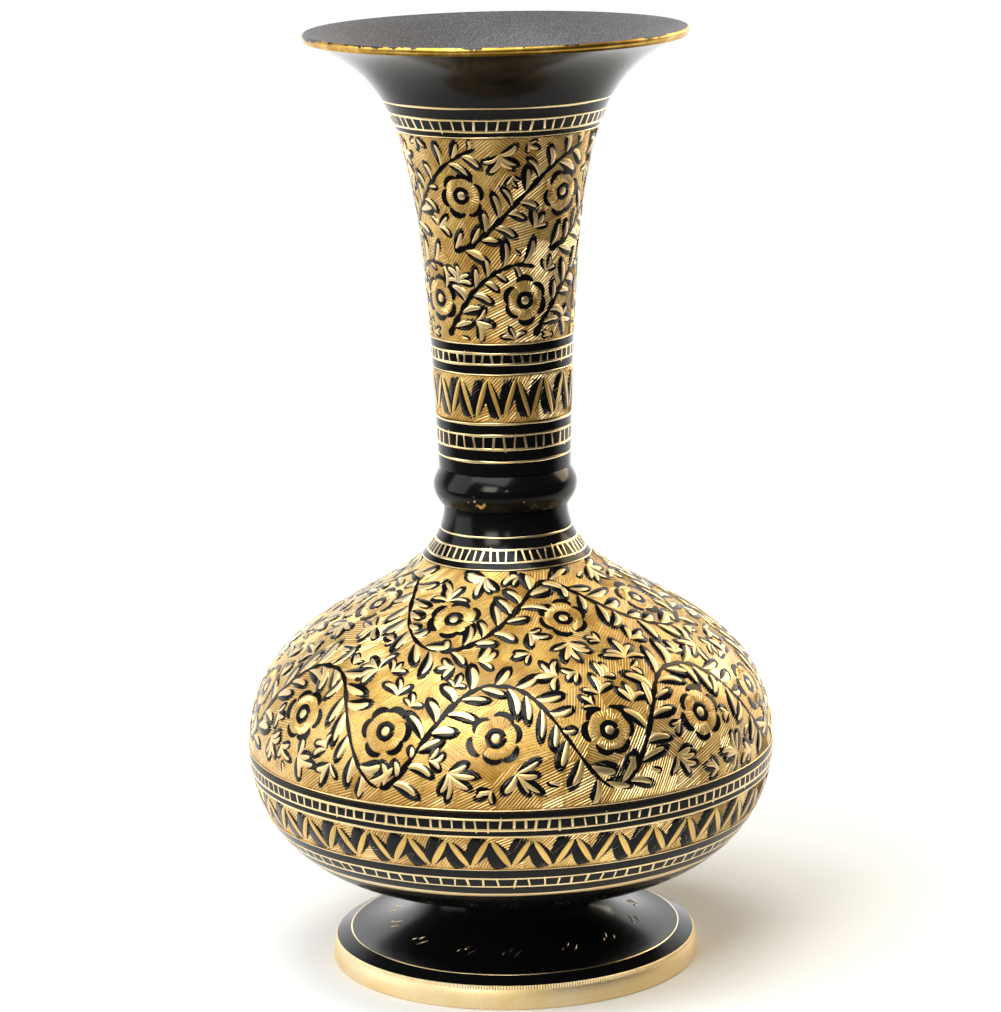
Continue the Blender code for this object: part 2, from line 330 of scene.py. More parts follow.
class Relief:
    """Slivers of one finish on one skin, gathered up and made into one piece."""

    def __init__(self, skin, level):
        self.skin, self.level = skin, level
        self.points, self.quads, self.triangles, self.size = [], [], [], 0

    def add(self, theta, s, half_width, rise, sides=8, crown=1.0):
        """Add (count, stations) slivers; widths and rises stretch to the paths' shape."""
        half_width, rise = (np.broadcast_to(value, s.shape) for value in (half_width, rise))
        self.take(*slivers(self.skin, self.level, theta, s, half_width, rise, sides, crown))

    def add_rings(self, places, half_width):
        """Full rings at each s, drifting a little along their way as hand-held cuts do."""
        around, sides = 256, 6
        theta = np.arange(around) * TURN / around
        angle = np.arange(sides) * TURN / sides
        lift = np.where(np.sin(angle) > 0, LINE_RISE, SINK) * np.sin(angle)
        for place in places:
            drift = 0.05 * MM * np.sin(theta * 3 + random.uniform(0, TURN))
            drift += 0.03 * MM * np.sin(theta * 11 + random.uniform(0, TURN))
            wide = half_width * (1 + 0.2 * np.sin(theta * 5 + random.uniform(0, TURN)))
            s = place + drift[:, None] + wide[:, None] * np.cos(angle)
            points = self.skin.wrap(theta[:, None] + 0 * s, s, self.level + lift)
            self.take(points.reshape(-1, 3), quad_grid(around, sides, True), np.empty((0, 3), int))

    def take(self, points, quads, triangles):
        """Add points and faces; the faces count on from the points already there."""
        self.points.append(points)
        self.quads.append(quads + self.size)
        self.triangles.append(triangles + self.size)
        self.size += len(points)

    def build(self, name, material, slot, sharp=60):
        """Make all that was gathered one piece."""
        faces = [np.vstack(self.quads), np.vstack(self.triangles)]
        add_piece(name, np.vstack(self.points), faces, [material], sharp=sharp)


def bulge(t, power, lean=1):
    """Width along a leaf: sin(pi t^lean)^power, nothing at both ends."""
    return np.clip(np.sin(math.pi * t ** lean), 0, 1) ** power


def wrapped(gap):
    """The same angle, brought to within half a turn of zero."""
    return (gap + math.pi) % TURN - math.pi


def walk(skin, theta, s, heading, bend, length, stations):
    """Paths that start at theta, s and turn evenly: each step goes along heading + bend t."""
    t = np.linspace(0, 1, stations)
    turn = heading[:, None] + bend[:, None] * (t[:-1] + 0.5 / (stations - 1))
    step = (length / (stations - 1))[:, None]
    along = np.cumsum(np.sin(turn) * step, axis=1)
    across = np.cumsum(np.cos(turn) * step, axis=1)
    start = np.zeros((len(s), 1))
    path_s = s[:, None] + np.hstack([start, along])
    path_theta = theta[:, None] + np.hstack([start, across]) / skin.radius(path_s)
    return path_theta, path_s


def beside_path(skin, theta, s, amount):
    """Paths moved to their left by an amount, which may differ along the way."""
    go_x, go_y, radius = headings(skin, theta, s)
    return theta - go_y * amount / radius, s + go_x * amount


def smooth_line(points, count):
    """A line through listed points: a Catmull-Rom cubic between each two."""
    points = np.asarray(points, float)
    padded = np.vstack([2 * points[0] - points[1], points, 2 * points[-1] - points[-2]])
    share = np.linspace(0, len(points) - 1 - 1e-9, count)
    i = share.astype(int)
    t = (share - i)[:, None]
    a, b, c, d = (padded[i + k] for k in range(4))
    return 0.5 * (2 * b + (c - a) * t + (2 * a - 5 * b + 4 * c - d) * t ** 2
                  + (3 * b - 3 * c + d - a) * t ** 3)


class Garden:
    """A floral field: black shapes left standing, with bright cuts and petals inside them."""

    def __init__(self, skin, low, high):
        self.skin, self.low, self.high = skin, low, high
        self.black = Relief(skin, -FIELD_DEPTH)
        self.leaf = Relief(skin, -FIELD_DEPTH)
        self.petal = Relief(skin, -FIELD_DEPTH)
        self.flowers = []
        self.taken = []

    def off(self, theta, s, across, along):
        """The place that lies so far across and along from another, measured on the surface."""
        return theta + across / self.skin.radius(s + along), s + along

    def clear_length(self, theta, s, heading, length):
        """Shorten leaves that would run into a flower; 0 for those that have no room."""
        best = np.zeros(len(s))
        for share in (0.5, 0.65, 0.8, 1.0):
            free = np.ones(len(s), bool)
            for place in (0.4, 0.7, 1.0):
                run = length * share * place
                at_theta, at_s = self.off(theta, s, run * np.cos(heading), run * np.sin(heading))
                for middle, height, size in self.flowers:
                    across = wrapped(at_theta - middle) * self.skin.radius(height)
                    free &= np.hypot(across, at_s - height) > size + LEAF_TO_FLOWER
            best = np.where(free, share * length, best)
        return best

    def leaves(self, theta, s, heading, length, side, half_width):
        """Blunt black leaves, each with a narrow bright cut that lies off to one side."""
        theta, s, heading, length, side = (np.asarray(value, float) + np.zeros(len(s))
                                           for value in (theta, s, heading, length, side))
        heading = heading + random.normal(0, 0.10, len(s))
        length = length * random.uniform(0.82, 1.22, len(s))
        length = self.clear_length(theta, s, heading, length)
        kept = length > 0
        theta, s, heading, length, side = (value[kept] for value in
                                           (theta, s, heading, length, side))
        count = len(s)
        if count == 0:
            return
        curve = LEAF_BEND * side * random.uniform(-0.7, 1.4, count)
        wide = half_width * random.uniform(0.85, 1.15, count)[:, None]
        wide = wide * np.clip(length / FULL_LEAF, 0.55, 1)[:, None]
        t = np.linspace(0, 1, 9)
        patch = self.held(walk(self.skin, theta, s, heading, curve, length, 9))
        self.black.add(*patch, 0.94 * wide * bulge(t, 0.6, 1.35), OUTLINE_RISE * bulge(t, 0.3),
                       8, 1.5)
        cut = self.held(walk(self.skin, theta, s, heading, curve, length * 0.86, 9))
        cut = beside_path(self.skin, *cut, -side[:, None] * (0.42 * wide) * bulge(t, 1))
        narrow = wide * random.uniform(0.46, 0.66, count)[:, None]
        self.leaf.add(*cut, narrow * bulge(t, 0.6, 1.15), LEAF_RISE * bulge(t, 0.35, 1.1))
        self.taken.append(np.stack([value[:, 1::2].ravel() for value in patch]))

    def held(self, path):
        """Keep a path inside the field."""
        return path[0], np.clip(path[1], self.low + 1.0 * MM, self.high - 0.9 * MM)

    def fill(self, closest, longest, half_width):
        """Sprigs in the gaps, the widest gap first, until none is wider than closest."""
        skin, cell = self.skin, 1.6 * MM
        middle = float(skin.radius(0.5 * (self.low + self.high)))
        theta, s = np.meshgrid(np.arange(0, TURN, cell / middle),
                               np.arange(self.low + cell, self.high - cell, cell))
        theta, s = theta.ravel(), s.ravel()
        radius = skin.radius(s)
        free = np.minimum(s - self.low, self.high - s) + 1.6 * MM

        def nearest(points):
            """Distance from each cell to the closest point."""
            gap = wrapped(theta[:, None] - points[0])
            return np.hypot(gap * radius[:, None], s[:, None] - points[1]).min(axis=1)

        for at_theta, at_s, size in self.flowers:
            free = np.minimum(free, nearest(np.array([[at_theta], [at_s]])) - 0.8 * size)
        for points in self.taken:
            free = np.minimum(free, nearest(points))
        while free.max() > closest:
            best = int(np.argmax(free))
            length = min(1.75 * (free[best] - 0.9 * MM), longest)
            count = 5 if length > 0.9 * longest else 3 if length > 0.55 * longest else 1
            heading = random.uniform(0, TURN)
            back = 0.5 * length
            root_theta = theta[best] - back * math.cos(heading) / radius[best]
            before = len(self.taken)
            self.fan(root_theta, s[best] - back * math.sin(heading), heading, length, count,
                     0.25 * count, half_width)
            free[best] = 0
            for points in self.taken[before:]:
                free = np.minimum(free, nearest(points))

    def stem(self, theta, s):
        """One black stem along a path, uneven and thinning towards its end."""
        t = np.linspace(0, 1, len(s))
        width = STEM_START + (STEM_END - STEM_START) * t
        width = width * np.clip(np.minimum(t, 1 - t) * 25, 0, 1) ** 0.5
        width = width * (1 + 0.28 * np.sin(t * len(s) * 0.9) + 0.14 * np.sin(t * len(s) * 0.37))
        self.black.add(theta[None], s[None], width, np.where(width > 0, OUTLINE_RISE, 0), 8, 1.5)
        self.taken.append(np.stack([theta, s]))

    def leafy_stem(self, theta, s, spacing, length, half_width=1.9 * MM):
        """A stem with leaves that leave it forwards, on its two sides in turn."""
        self.stem(theta, s)
        across, along = np.gradient(theta) * self.skin.radius(s), np.gradient(s)
        place = np.cumsum(np.hypot(across, along))
        slope = np.unwrap(np.arctan2(along, across))
        for side in (1, -1):
            first = STEM_BARE + (0.5 * spacing if side < 0 else 0)
            at = np.arange(first, place[-1] - 1 * MM, spacing)
            at = at + random.uniform(-0.12, 0.12, len(at)) * spacing
            here = [np.interp(at, place, value) for value in (theta, s, slope)]
            here[2] = here[2] + side * LEAF_SPREAD
            self.leaves(*here, length, side, half_width)

    def fan(self, theta, s, heading, length, count, spread, half_width=1.6 * MM):
        """Leaves that spread from one root, as a trefoil or a palmette."""
        share = np.linspace(-1, 1, count) if count > 1 else np.zeros(1)
        self.leaves(theta + 0 * share, s + 0 * share, heading + share * spread,
                    length * (1 - 0.18 * abs(share)), np.where(share < 0, -1.0, 1.0), half_width)

    def flower(self, theta, s, size, turn):
        """Low brass petals cut across by radial strokes, each with a black crescent outside."""
        self.flowers.append((theta, s, size))
        angle = turn + np.arange(PETALS) * TURN / PETALS + random.normal(0, 0.06, PETALS)
        reach = size * random.uniform(0.92, 1.06, PETALS)
        lobe = 0.36 * size
        cos, sin = np.cos(angle), np.sin(angle)
        t = np.linspace(0, 1, 9)
        root = self.off(theta, s, 0.22 * size * cos, 0.22 * size * sin)
        petal = walk(self.skin, *root, angle, 0 * angle, reach * 0.66, 9)
        self.petal.add(*petal, lobe * bulge(t, 0.5, 1.4), 0.6 * LEAF_RISE * bulge(t, 0.2), 10, 1.3)
        swing = np.linspace(-1.25, 1.25, 11) + random.normal(0, 0.12, (PETALS, 1))
        out_x = (reach - 0.42 * size)[:, None] + lobe * np.cos(swing)
        out_y = lobe * 1.12 * np.sin(swing)
        cos, sin = cos[:, None], sin[:, None]
        crescent = self.off(theta, s, out_x * cos - out_y * sin, out_x * sin + out_y * cos)
        thick = 0.135 * size * random.uniform(0.75, 1.2, (PETALS, 1))
        self.black.add(*crescent, thick * bulge(np.linspace(0, 1, 11), 0.55), OUTLINE_RISE, 8, 1.5)
        strokes = (angle[:, None] + np.linspace(-0.42, 0.42, PETAL_STROKES)).ravel()
        start = 0.44 * size * random.uniform(0.85, 1.15, len(strokes))
        end = np.repeat(reach, PETAL_STROKES) * random.uniform(0.74, 0.90, len(strokes))
        out = start[:, None] + (end - start)[:, None] * np.array([0.0, 0.25, 0.75, 1.0])
        stroke = self.off(theta, s, out * np.cos(strokes)[:, None], out * np.sin(strokes)[:, None])
        self.leaf.add(*stroke, 0.052 * size * np.array([0, 1, 1, 0]),
                      LEAF_RISE * np.array([0.7, 1.0, 0.95, 0.7]), 4)
        self.ring(theta, s, 0.29 * size, 0.13 * size)
        self.button(theta, s, 0.19 * size)

    def ring(self, theta, s, radius, half_width):
        """A closed black ring whose ends pass each other."""
        angle = np.linspace(0, TURN + 0.25, 30)[None]
        path = self.off(theta, s, radius * np.cos(angle), radius * np.sin(angle))
        self.black.add(*path, half_width, LEAF_RISE, 6)

    def button(self, theta, s, radius):
        """A round bright button: half width sqrt(1 - x^2) across its own length."""
        x = np.linspace(-1, 1, 9)[None]
        across = np.sqrt(np.clip(1 - x ** 2, 0, 1))
        self.leaf.add(theta + x * radius / self.skin.radius(s), np.full(x.shape, s),
                      radius * across, 1.1 * LEAF_RISE * across ** 0.7, 10)

    def build(self, name):
        """Make the outlines, the bright cuts and the petals three pieces."""
        self.black.build(name + "_outlines", black_lacquer, "black_lacquer")
        self.leaf.build(name + "_leaves", cut_brass, "engraved_brass")
        self.petal.build(name + "_petals", petal_brass, "engraved_brass")


def hatch(skin, name, low_s, high_s, lean, patch=10 * MM):
    """Parallel graver strokes in patches: each patch has its own slant, and holds the places
    that are nearer to its centre than to any other. A stroke is the part of a line inside it."""
    rows = max(1, round((high_s - low_s) / patch))
    centre_theta, centre_s = [], []
    for k in range(rows):
        middle = low_s + (k + 0.5) * (high_s - low_s) / rows
        count = round(TURN * float(skin.radius(middle)) / patch)
        jitter = random.uniform(-0.28, 0.28, (2, count))
        centre_theta.append((np.arange(count) + 0.5 * (k % 2) + jitter[0]) * TURN / count)
        centre_s.append(middle + jitter[1] * patch)
    centre_theta, centre_s = np.concatenate(centre_theta), np.concatenate(centre_s)
    patches = len(centre_s)
    slant = lean + random.normal(0, 0.26, patches)
    slant = np.where(random.uniform(0, 1, patches) < 0.12, math.pi - slant, slant)
    cos, sin = np.cos(slant)[:, None, None], np.sin(slant)[:, None, None]
    offset = np.arange(-patch, patch, STROKE_PITCH)[:, None]
    along = np.linspace(-1.0, 1.0, 41) * patch
    s = centre_s[:, None, None] + (sin * along + cos * offset)
    across = (cos * along - sin * offset) / skin.radius(np.clip(s, low_s, high_s))
    theta = centre_theta[:, None, None] + across
    gap = wrapped(theta[..., None] - centre_theta)
    far = (gap * skin.radius(centre_s)) ** 2 + (s[..., None] - centre_s) ** 2
    own = np.argmin(far, axis=-1) == np.arange(patches)[:, None, None]
    own &= (s > low_s) & (s < high_s)
    kept = own.sum(axis=-1) >= 3
    first = np.argmax(own, axis=-1)[kept]
    last = own.shape[-1] - 1 - np.argmax(own[..., ::-1], axis=-1)[kept]
    pick = np.arange(len(first))
    t = np.array([-0.07, 0.08, 0.30, 0.50, 0.70, 0.90, 1.07])
    path = []
    for line in (theta[kept], s[kept]):
        start, end = line[pick, first], line[pick, last]
        path.append(start[:, None] + (end - start)[:, None] * t)
    wide = 0.31 * STROKE_PITCH * random.uniform(0.7, 1.25, len(first))
    lift = STROKE_RISE * random.uniform(0.55, 1.25, len(first))
    relief = Relief(skin, -FIELD_DEPTH)
    relief.add(*path, wide[:, None] * np.array([0, 0.8, 1, 1, 1, 0.9, 0]), lift[:, None], 3)
    relief.build(name, hatch_brass, "engraved_brass", sharp=25)


# ======== shader graphs

def operator(operation):
    """The plain and the reflected form of an operator, as a Math node."""
    def plain(self, other):
        return self.graph.math(operation, self, other)

    def reflected(self, other):
        return self.graph.math(operation, other, self)

    return plain, reflected


class Value:
    """A shader socket. Arithmetic on it adds Math nodes to its graph."""

    __add__, __radd__ = operator("ADD")
    __sub__, __rsub__ = operator("SUBTRACT")
    __mul__, __rmul__ = operator("MULTIPLY")
    __truediv__, __rtruediv__ = operator("DIVIDE")
    __pow__, __rpow__ = operator("POWER")

    def __init__(self, graph, socket):
        self.graph, self.socket = graph, socket

    def between(self, low, high):
        """0 below low, 1 above high, a smooth ramp between."""
        out = self.graph.node("ShaderNodeMapRange", {"interpolation_type": "SMOOTHSTEP"},
                              {"Value": self, "From Min": low, "From Max": high})
        return Value(self.graph, out.outputs["Result"])


class Graph:
    """The nodes of a material or of the world, with its coordinates ready to use."""

    def __init__(self, owner, shader="Principled BSDF", coordinates="Object"):
        owner.use_nodes = True
        self.owner, self.tree = owner, owner.node_tree
        self.shader = self.tree.nodes[shader]
        self.place = self.node("ShaderNodeTexCoord").outputs[coordinates]
        split = self.node("ShaderNodeSeparateXYZ", inputs={"Vector": self.place})
        self.x, self.y, self.z = (Value(self, out) for out in split.outputs)

    def node(self, kind, settings=None, inputs=None):
        """Any node: its settings first, then the values or links of its sockets."""
        node = self.tree.nodes.new(kind)
        for key, value in (settings or {}).items():
            setattr(node, key, value)
        for key, value in (inputs or {}).items():
            self.feed(node.inputs[key], value)
        return node

    def feed(self, socket, value):
        """Give a socket a link or a plain value."""
        if isinstance(value, Value):
            value = value.socket
        if isinstance(value, bpy.types.NodeSocket):
            self.tree.links.new(value, socket)
        else:
            socket.default_value = value

    def math(self, operation, *values):
        """One Math node, as a value."""
        node = self.node("ShaderNodeMath", {"operation": operation}, dict(enumerate(values)))
        return Value(self, node.outputs[0])

    def mix(self, factor, first, second):
        """A colour between two colours."""
        node = self.node("ShaderNodeMix", {"data_type": "RGBA"}, {0: factor, 6: first, 7: second})
        return node.outputs[2]

    def noise(self, scale, detail=3.0, roughness=0.55, vector=None):
        """Cloudy noise on the coordinates, or on another vector, as a value from 0 to 1."""
        node = self.node("ShaderNodeTexNoise", inputs={
            "Vector": vector or self.place, "Scale": scale, "Detail": detail,
            "Roughness": roughness})
        return Value(self, node.outputs[0])

    def stretched(self, scale):
        """The object's coordinates, scaled unevenly."""
        node = self.node("ShaderNodeVectorMath", {"operation": "MULTIPLY"},
                         {0: self.place, 1: scale})
        return node.outputs[0]

    def turning(self):
        """Coordinates (radius, 0, height), the same all the way round."""
        radius = (self.x * self.x + self.y * self.y) ** 0.5
        node = self.node("ShaderNodeCombineXYZ", inputs={"X": radius, "Z": self.z})
        return node.outputs[0]

    def bump(self, height, distance):
        """Raise the surface by a value times a distance."""
        node = self.node("ShaderNodeBump", inputs={"Height": height, "Distance": distance})
        self.feed(self.shader.inputs["Normal"], node.outputs[0])

    def finish(self, **sockets):
        """Set the shader's own sockets, named with underscores for spaces."""
        for key, value in sockets.items():
            self.feed(self.shader.inputs[key.replace("_", " ")], value)
        return self.owner


PALE_GOLD = (0.88, 0.735, 0.48, 1)
CREAM_GOLD = (0.94, 0.745, 0.41, 1)
LEAF_GOLD = (0.80, 0.61, 0.32, 1)
GOLD = (0.81, 0.535, 0.14, 1)
DEEP_GOLD = (0.40, 0.215, 0.025, 1)
LACQUER = (0.004, 0.004, 0.0045, 1)
DUST = (0.20, 0.19, 0.17, 1)
LINING_DARK = (0.040, 0.038, 0.040, 1)
LINING_PALE = (0.16, 0.155, 0.16, 1)


def make_brass(name, light, deep, rough, tarnish_and_shade=0.35, grain=0.02 * MM):
    """Brass whose colour drifts in soft clouds and whose surface has fine tool grain. The drift
    towards the deep colour is tarnish, and where it is set high it is also painted shade.
    """
    graph = Graph(bpy.data.materials.new(name))
    cloud = graph.noise(90, 4.0).between(0.35, 0.65)
    grit = graph.noise(2600, 2.0)
    tone = cloud * tarnish_and_shade + grit.between(0.45, 0.75) * tarnish_and_shade
    graph.bump(grit, grain)
    return graph.finish(Base_Color=graph.mix(tone, light, deep), Metallic=1.0,
                        Roughness=rough + 0.12 * cloud, Coat_Weight=0.8, Coat_Roughness=0.3)


def make_lacquer(name, speck=0.0):
    """Glossy black lacquer: faint waviness, hair scratches around the turning, dust specks."""
    graph = Graph(bpy.data.materials.new(name))
    wave = graph.noise(240, 2.0)
    scratch = graph.noise(1.0, 2.0, vector=graph.stretched((260, 260, 5200)))
    dust = graph.noise(3300, 1.0).between(0.76, 0.84)
    graph.bump(wave, 0.008 * MM)
    return graph.finish(Base_Color=graph.mix(dust * (0.10 + speck), LACQUER, DUST),
                        Roughness=0.12 + 0.10 * scratch + 0.2 * dust, Specular_IOR_Level=0.14)


def make_matte_lining():
    """Lacquer left dull inside the mouth, grey with paler grains."""
    graph = Graph(bpy.data.materials.new("mouth_lining"))
    grain = graph.noise(2300, 3.0, 0.7)
    cloud = graph.noise(60, 3.0)
    pale = grain.between(0.42, 0.72) * (0.5 + cloud)
    graph.bump(grain, 0.04 * MM)
    return graph.finish(Base_Color=graph.mix(pale, LINING_DARK, LINING_PALE), Roughness=0.55)


def make_turned_brass(name, light, deep, rough, teeth=0, teeth_from=0.0):
    """Satin brass with rings left by the lathe tool, and fine teeth pressed into its top edge."""
    graph = Graph(bpy.data.materials.new(name))
    rings = graph.noise(2100, 3.0, 0.7, vector=graph.turning())
    cloud = graph.noise(70, 3.0).between(0.35, 0.7)
    grit = graph.noise(1900, 3.0)
    relief = rings * 0.6 + grit * 0.5
    if teeth:
        wave = graph.math("SINE", graph.math("ARCTAN2", graph.y, graph.x) * teeth)
        relief = relief + wave * graph.z.between(teeth_from, teeth_from + 0.5 * MM) * 2.2
    graph.bump(relief, 0.05 * MM)
    tone = 0.35 * cloud + 0.35 * grit.between(0.4, 0.7)
    return graph.finish(Base_Color=graph.mix(tone, light, deep), Metallic=1.0,
                        Roughness=rough + 0.12 * rings)


def make_worn_lip():
    """Brass edge where lacquer is left in patches, more towards the top and the left."""
    graph = Graph(bpy.data.materials.new("worn_lip"))
    up = (graph.z - (TOP_Z - LIP_ROUND)) / (2 * LIP_ROUND)
    right = graph.x.between(-10 * MM, 25 * MM)
    patch = (graph.noise(120, 4.0, 0.65) + up * 0.26 - right * 0.09).between(0.56, 0.59)
    tone = 0.3 + 0.6 * graph.noise(240, 3.0).between(0.30, 0.6)
    brass = graph.mix(tone, GOLD, DEEP_GOLD)
    return graph.finish(Base_Color=graph.mix(patch, brass, LACQUER), Metallic=1 - patch,
                        Roughness=0.38)


def make_chipped_lacquer():
    """The bead's lacquer, flaked down to the brass in a few spots low on its front left."""
    graph = Graph(bpy.data.materials.new("chipped_lacquer"))
    far_x, far_y, far_z = graph.x + 6.5 * MM, graph.y + 17.0 * MM, graph.z - 130.1 * MM
    far = (far_x * far_x + far_y * far_y + far_z * far_z) ** 0.5
    low = (COLLAR_LOW_Z + WORN_HEIGHT - graph.z) / WORN_HEIGHT
    flake = graph.noise(520, 3.0, 0.6) + 0.16 * (1 - far.between(1.0 * MM, 4.5 * MM)) + 0.03 * low
    chip = flake.between(0.70, 0.715)
    wave = graph.noise(240, 2.0)
    graph.bump(wave, 0.012 * MM)
    return graph.finish(Base_Color=graph.mix(chip, LACQUER, CREAM_GOLD), Metallic=chip,
                        Roughness=0.12 + 0.08 * wave, Specular_IOR_Level=0.16)


black_lacquer = make_lacquer("black_lacquer")
foot_lacquer = make_lacquer("foot_lacquer", 0.3)
# The sunk fields' ground is painted darker than the strokes on it: painted shade in the valleys
# between the strokes, over clouds of tarnish
ground_brass_painted_shade = make_brass("field_brass_painted_shade", GOLD, DEEP_GOLD, 0.52, 1.0)
hatch_brass = make_brass("stroke_brass", CREAM_GOLD, GOLD, 0.42, 0.40)
cut_brass = make_brass("bright_cut_brass", LEAF_GOLD, GOLD, 0.42)
bar_brass = make_brass("bar_brass", GOLD, DEEP_GOLD, 0.42)
petal_brass = make_brass("petal_brass", GOLD, DEEP_GOLD, 0.50, 0.85, 0.05 * MM)
line_brass = make_brass("line_brass", CREAM_GOLD, GOLD, 0.28, 0.3, 0.01 * MM)
rim_brass = make_turned_brass("rim_brass", PALE_GOLD, GOLD, 0.42, RIM_TEETH, RIM_TEETH_Z)
inner_brass = make_turned_brass("inner_brass", GOLD, DEEP_GOLD, 0.45)
mouth_lining = make_matte_lining()
chipped_lacquer = make_chipped_lacquer()
worn_lip = make_worn_lip()


# ======== shells

neck = neck_skin()
shoulder = shoulder_skin()
bowl = bowl_skin()
foot = foot_skin()

# The sunk fields, as (low s, high s) on their skins
NECK_FIELD = neck.span(173.3, 228.0)
NECK_ZIGZAG = neck.span(152.0, 164.5)
BELLY_FIELD = shoulder.span(61.5, 112.9)
BOWL_ZIGZAG = bowl.span(44.3, 53.9)


def make_neck():
    """Lip, lacquered flare with two sunk brass fields, spigot, and the dull bore."""
    lip = arc_rows((LIP_R - LIP_ROUND, TOP_Z - LIP_ROUND), LIP_ROUND, 90, -60, 12)
    outside = stepped(neck, neck.s[-1] - 0.5 * MM, [NECK_FIELD, NECK_ZIGZAG])
    spigot = [(SPIGOT_R, NECK_SEAT_Z), (SPIGOT_R, SPIGOT_END_Z), (SPIGOT_BORE_R, SPIGOT_END_Z),
              (SPIGOT_BORE_R, NECK_SEAT_Z)]
    inside = inset(neck, SPIGOT_LEDGE, neck.s[-1] - LINING_DEPTH)
    lathe("neck_shell", [(lip, [4] * 2 + [2] * 10), outside, (spigot, 3), (inside, 4)],
          [black_lacquer, ground_brass_painted_shade, worn_lip, inner_brass, mouth_lining],
          ["neck"])


def make_collar():
    """A lacquered half-wave bead."""
    share = np.linspace(0, 1, 40)
    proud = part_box("collar_ring")[1].x - COLLAR_LAND_R
    bead = np.stack([COLLAR_LAND_R + proud * np.sin(math.pi * share),
                     COLLAR_TOP_Z + (COLLAR_LOW_Z - COLLAR_TOP_Z) * share], axis=-1)
    bore = [(SPOUT_BORE_R, COLLAR_LOW_Z), (SPOUT_BORE_R, COLLAR_TOP_Z)]
    lathe("collar_bead", [(bead, 0), (bore, 1)], [chipped_lacquer, inner_brass],
          ["collar_ring"])


def make_shoulder():
    """Lacquered spout above the sunk floral field."""
    outside = stepped(shoulder, shoulder.s[-1], [BELLY_FIELD])
    lap_r = BELLY_R - LAP_WALL
    ledge_z = SHOULDER_LOW_Z + LAP_HEIGHT + GAP
    bore_z = SPOUT_TOP_Z - SPOUT_BORE_DEPTH
    high_s = shoulder.at_height(bore_z - 0.7 * MM)
    inside = inset(shoulder, shoulder.at_height(ledge_z + GAP), high_s)
    lap = [(lap_r, SHOULDER_LOW_Z), (lap_r, ledge_z), (inside[0, 0], ledge_z)]
    spout = [(SPOUT_BORE_R, bore_z), (SPOUT_BORE_R, SPOUT_TOP_Z)]
    lathe("shoulder_shell", [outside, (lap, 2), (inside, 2), (spout, 2)],
          [black_lacquer, ground_brass_painted_shade, inner_brass], ["shoulder"], 320)


def make_bowl():
    """Lacquered bowl with a sunk zigzag field, a lap ring above and a blind boss inside."""
    outside = stepped(bowl, bowl.s[-1], [BOWL_ZIGZAG])
    lap_r = BELLY_R - LAP_WALL - GAP
    bore_r = lap_r - LAP_WALL
    inside = inset(bowl, 0.0, bowl.s[-1])
    inside = inside[inside[:, 0] < bore_r]
    boss_z, hole_z = BOWL_LOW_Z + BOSS_TOP, BOWL_LOW_Z + STUD_HOLE
    boss = [(0.0, boss_z), (BOSS_R, boss_z), (BOSS_R, inside[0, 1])]
    lap = [(bore_r, LAP_TOP_Z), (lap_r, LAP_TOP_Z), (lap_r, BOWL_TOP_Z)]
    pad = [(FOOT_WAIST_R, BOWL_LOW_Z), (HOLE_R, BOWL_LOW_Z), (HOLE_R, hole_z), (0.0, hole_z)]
    lathe("bowl_shell", [(boss, 2), (inside, 2), (lap, 2), outside, (pad, 2)],
          [black_lacquer, ground_brass_painted_shade, inner_brass], ["bowl"], 320)


def make_foot():
    """Lacquered cove and flange above a satin rim, plain brass underneath."""
    top = [(HOLE_R, FOOT_TOP_Z), (FOOT_WAIST_R - 0.5 * MM, FOOT_TOP_Z)]
    outside = stepped(foot, foot.s[-1] - 0.4 * MM, low_s=0.3 * MM, step=0.5 * MM)
    rim = np.vstack([
        [(FOOT_EDGE_R - 0.25 * MM, FOOT_RIM_HEIGHT - 0.05 * MM),
         (FOOT_EDGE_R + 0.05 * MM, FOOT_RIM_HEIGHT - 0.4 * MM),
         (FOOT_EDGE_R + 0.5 * MM, FOOT_RIM_HEIGHT * 0.45)],
        arc_rows((FOOT_R - RIM_ROUND, RIM_ROUND), RIM_ROUND, 0, -90, 6)])
    bore_r = FOOT_R - FOOT_RIM_WIDTH
    deep = FOOT_TOP_Z - FLANGE_TOP_Z + WALL
    wide = FOOT_COVE_R - FOOT_WAIST_R + WALL
    angle = np.linspace(math.pi / 2, math.asin(FOOT_WEB / deep), 40)
    cove = np.stack([FOOT_COVE_R - wide * np.cos(angle), FOOT_TOP_Z - deep * np.sin(angle)], -1)
    under = np.vstack([[(bore_r, 0.0), (bore_r, cove[0, 1] - FOOT_FLANGE_RISE)], cove,
                       [(HOLE_R, FOOT_TOP_Z - FOOT_WEB)]])
    lathe("foot_shell", [(top, [2, 0]), outside, (rim, 1), (under, 2)],
          [foot_lacquer, rim_brass, inner_brass], ["foot"], 320)


# ======== plain bands: lines and ladders

def ladder(lines, ticks, low_s, high_s, count):
    """Two brass lines with short brass bars between them, so black squares stay."""
    lines.add_rings([high_s, low_s], 0.30 * MM)
    t = np.array([0.0, 0.12, 0.88, 1.0])
    theta = (np.arange(count) + random.uniform(-0.12, 0.12, count)) * TURN / count
    tip = random.uniform(-0.30, 0.30, (2, count)) * MM
    tip += np.where(random.uniform(0, 1, (2, count)) < 0.10, OVERSHOOT, 0) * [[-1], [1]]
    start, end = low_s + tip[0], high_s + tip[1]
    path_s = start[:, None] + (end - start)[:, None] * t
    shift = random.uniform(-0.22, 0.22, count) * (high_s - low_s)
    path_theta = theta[:, None] + shift[:, None] * (t - 0.5) / lines.skin.radius(low_s)
    wide = 0.32 * MM * random.uniform(0.75, 1.25, count)
    ticks.add(path_theta, path_s, wide[:, None] * np.array([0, 1, 1, 0]), LINE_RISE, 6)


